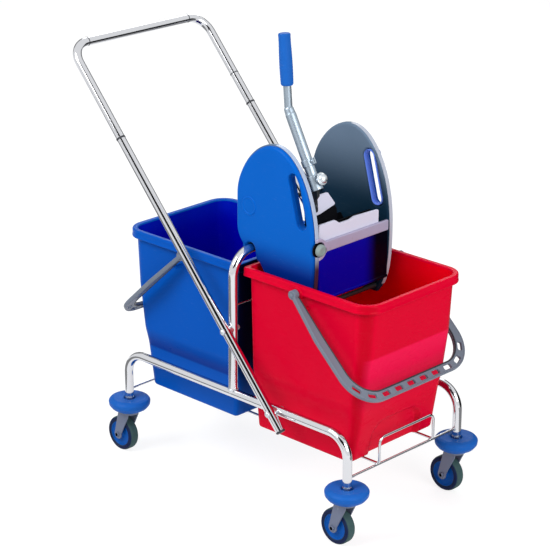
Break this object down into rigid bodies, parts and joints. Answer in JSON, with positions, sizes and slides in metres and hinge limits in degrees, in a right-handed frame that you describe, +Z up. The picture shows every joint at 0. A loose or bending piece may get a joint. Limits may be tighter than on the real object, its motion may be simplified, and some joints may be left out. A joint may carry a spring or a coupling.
{
  "type": "double mop bucket trolley",
  "caption": "Wheeled chrome tube frame with a red and a blue bucket side by side, a push handle, swivel casters with bumper discs and a lever-press wringer.",
  "frame": {"origin": "on the floor under the middle of the centre hoop", "axes": "+X towards the red bucket, the front; +Y towards the far side, away from the lever; +Z up"},
  "size_m": [0.8664, 0.451, 1.0357],
  "materials": {
    "chrome_tube": "bright chrome plate",
    "chrome_wire": "bright chrome plate",
    "joint_ring": "dark moulded",
    "zinc": "zinc plated",
    "trim_blue": "moulded, soft gloss",
    "fork_grey": "grey lacquer",
    "tyre_rubber": "grey rubber",
    "bucket_blue": "moulded, gloss",
    "bucket_red": "moulded, gloss",
    "bail_grey": "moulded, satin",
    "cover_blue": "moulded, gloss",
    "liner_grey": "moulded, satin",
    "apron_navy": "moulded, satin",
    "plate_white": "moulded, soft gloss",
    "bar_silver": "silver lacquer",
    "knob_grey": "moulded, soft gloss",
    "bracket_dark": "dark lacquer"
  },
  "bodies": {
    "trolley_frame": {"side_rail_near": "chrome_tube", "side_rail_far": "chrome_tube", "centre_hoop": "chrome_tube", "hoop_wire": "chrome_wire", "front_cross_rod": "chrome_wire", "rear_cross_rod": "chrome_wire", "rack_front": "chrome_wire", "rack_rear": "chrome_wire", "rack_ties": "chrome_wire", "handle_tube_near": "chrome_tube", "handle_tube_far": "chrome_tube", "handle_bow": "chrome_tube", "handle_ferrules": "joint_ring", "handle_bolts": "zinc", "handle_saddles": "zinc", "handle_end_caps": "joint_ring", "caster_stems": "zinc", "blue_bucket": "bucket_blue", "red_bucket": "bucket_red"},
    "red_bail_body": {"red_bail": "bail_grey"},
    "blue_bail_body": {"blue_bail": "bail_grey"},
    "wringer": {"near_cover": "cover_blue", "far_cover": "cover_blue", "near_liner": "liner_grey", "far_liner": "liner_grey", "front_apron": "apron_navy", "front_panel": "plate_white", "front_bar": "bar_silver", "bar_knob": "knob_grey", "rear_jaw": "plate_white", "tie_rods": "zinc", "hinge_shaft": "zinc", "return_spring": "zinc"},
    "press": {"moving_jaw": "plate_white", "lever_bracket": "bracket_dark", "lever_tube": "zinc", "lever_collar": "zinc", "lever_grip": "trim_blue", "lever_bolt": "zinc"},
    "caster_front_near": {"bumper_front_near": "trim_blue", "fork_front_near": "fork_grey", "axle_front_near": "zinc"},
    "wheel_front_near": {"hub_front_near": "trim_blue", "tyre_front_near": "tyre_rubber"},
    "caster_front_far": {"bumper_front_far": "trim_blue", "fork_front_far": "fork_grey", "axle_front_far": "zinc"},
    "wheel_front_far": {"hub_front_far": "trim_blue", "tyre_front_far": "tyre_rubber"},
    "caster_rear_near": {"bumper_rear_near": "trim_blue", "fork_rear_near": "fork_grey", "axle_rear_near": "zinc"},
    "wheel_rear_near": {"hub_rear_near": "trim_blue", "tyre_rear_near": "tyre_rubber"},
    "caster_rear_far": {"bumper_rear_far": "trim_blue", "fork_rear_far": "fork_grey", "axle_rear_far": "zinc"},
    "wheel_rear_far": {"hub_rear_far": "trim_blue", "tyre_rear_far": "tyre_rubber"}
  },
  "joints": [
    {"name": "swivel_front_near", "type": "hinge", "parent": "trolley_frame", "child": "caster_front_near", "pos_m": [0.332, -0.178, 0.1], "axis": [0, 0, 1], "continuous": true},
    {"name": "wheel_spin_front_near", "type": "hinge", "parent": "caster_front_near", "child": "wheel_front_near", "pos_m": [0.309, -0.178, 0.04], "axis": [0, 1, 0], "continuous": true},
    {"name": "swivel_front_far", "type": "hinge", "parent": "trolley_frame", "child": "caster_front_far", "pos_m": [0.332, 0.178, 0.1], "axis": [0, 0, 1], "continuous": true},
    {"name": "wheel_spin_front_far", "type": "hinge", "parent": "caster_front_far", "child": "wheel_front_far", "pos_m": [0.309, 0.178, 0.04], "axis": [0, 1, 0], "continuous": true},
    {"name": "swivel_rear_near", "type": "hinge", "parent": "trolley_frame", "child": "caster_rear_near", "pos_m": [-0.332, -0.178, 0.1], "axis": [0, 0, 1], "continuous": true},
    {"name": "wheel_spin_rear_near", "type": "hinge", "parent": "caster_rear_near", "child": "wheel_rear_near", "pos_m": [-0.355, -0.178, 0.04], "axis": [0, 1, 0], "continuous": true},
    {"name": "swivel_rear_far", "type": "hinge", "parent": "trolley_frame", "child": "caster_rear_far", "pos_m": [-0.332, 0.178, 0.1], "axis": [0, 0, 1], "continuous": true},
    {"name": "wheel_spin_rear_far", "type": "hinge", "parent": "caster_rear_far", "child": "wheel_rear_far", "pos_m": [-0.355, 0.178, 0.04], "axis": [0, 1, 0], "continuous": true},
    {"name": "red_bail_swing", "type": "hinge", "parent": "trolley_frame", "child": "red_bail_body", "pos_m": [0.166, 0, 0.5143], "axis": [0, -1, 0], "range_deg": [0, 118]},
    {"name": "blue_bail_swing", "type": "hinge", "parent": "trolley_frame", "child": "blue_bail_body", "pos_m": [-0.167, 0, 0.5143], "axis": [0, 1, 0], "range_deg": [0, 133]},
    {"name": "wringer_lift", "type": "slide", "parent": "trolley_frame", "child": "wringer", "axis": [0, 0, 1], "range_m": [0, 0.35]},
    {"name": "press_pull", "type": "hinge", "parent": "wringer", "child": "press", "pos_m": [0.15, 0, 0.4783], "axis": [0, -1, 0], "range_deg": [0, 30], "stiffness_Nm_per_rad": 1.5, "springref_deg": -34.38, "deforming": ["return_spring"]}
  ]
}
